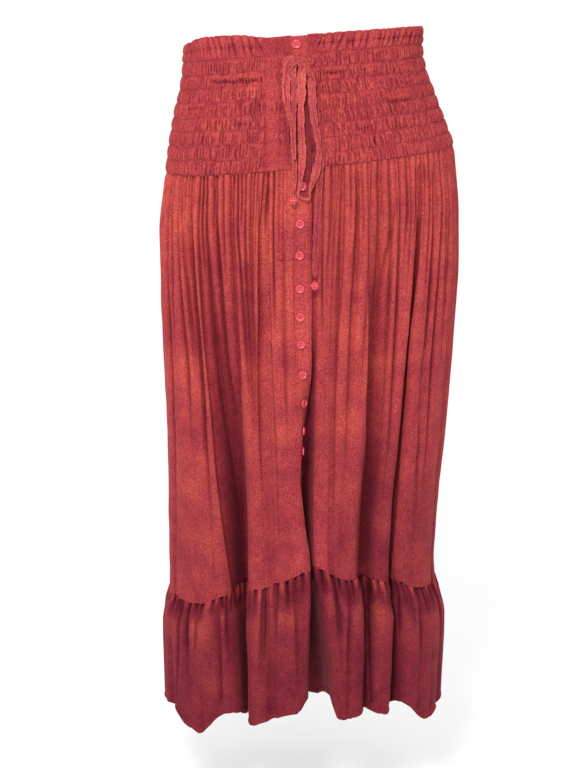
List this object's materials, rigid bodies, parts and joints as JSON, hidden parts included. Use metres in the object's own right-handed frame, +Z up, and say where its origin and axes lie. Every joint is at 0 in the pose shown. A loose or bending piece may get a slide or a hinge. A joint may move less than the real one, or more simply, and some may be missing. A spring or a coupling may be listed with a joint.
{
  "type": "maxi skirt",
  "caption": "Long button-through skirt with an elastic casing, deep shirred yoke, gathered body, hem flounce and a tied drawstring, hanging hollow as worn.",
  "frame": {"origin": "centre of the waist opening, level with the waist edge at the side of the body", "axes": "+Z up along the hanging skirt, -Y out of the buttoned centre front, +X towards the wearer's left side"},
  "size_m": [0.4017, 0.2678, 0.9522],
  "materials": {
    "crepe": "soft matt crinkled rayon crepe, mottled tie-dye in brick red, orange red and wine",
    "crepe_band": "soft matt rayon crepe, double layer, stitched",
    "crepe_tie": "soft matt rayon crepe, pressed flat tube",
    "coral_plastic": "moulded, satin gloss"
  },
  "bodies": {
    "root": {"bead_left": "coral_plastic", "bead_right": "coral_plastic", "button_01": "coral_plastic", "button_02": "coral_plastic", "button_03": "coral_plastic", "button_04": "coral_plastic", "button_05": "coral_plastic", "button_06": "coral_plastic", "button_07": "coral_plastic", "button_08": "coral_plastic", "button_09": "coral_plastic", "button_10": "coral_plastic", "button_11": "coral_plastic", "button_12": "coral_plastic", "button_13": "coral_plastic", "button_14": "coral_plastic", "casing_back": "crepe", "casing_front_left": "crepe", "casing_front_right": "crepe", "flounce_back": "crepe", "flounce_front_left": "crepe", "flounce_front_right": "crepe", "panel_back": "crepe", "panel_front_left": "crepe", "panel_front_right": "crepe", "placket_top": "crepe_band", "placket_under": "crepe_band", "tie_knot": "crepe_tie", "tie_loop_left": "crepe_tie", "tie_loop_right": "crepe_tie", "tie_tail_left": "crepe_tie", "tie_tail_right": "crepe_tie", "yoke_back": "crepe", "yoke_front_left": "crepe", "yoke_front_right": "crepe"}
  },
  "joints": []
}
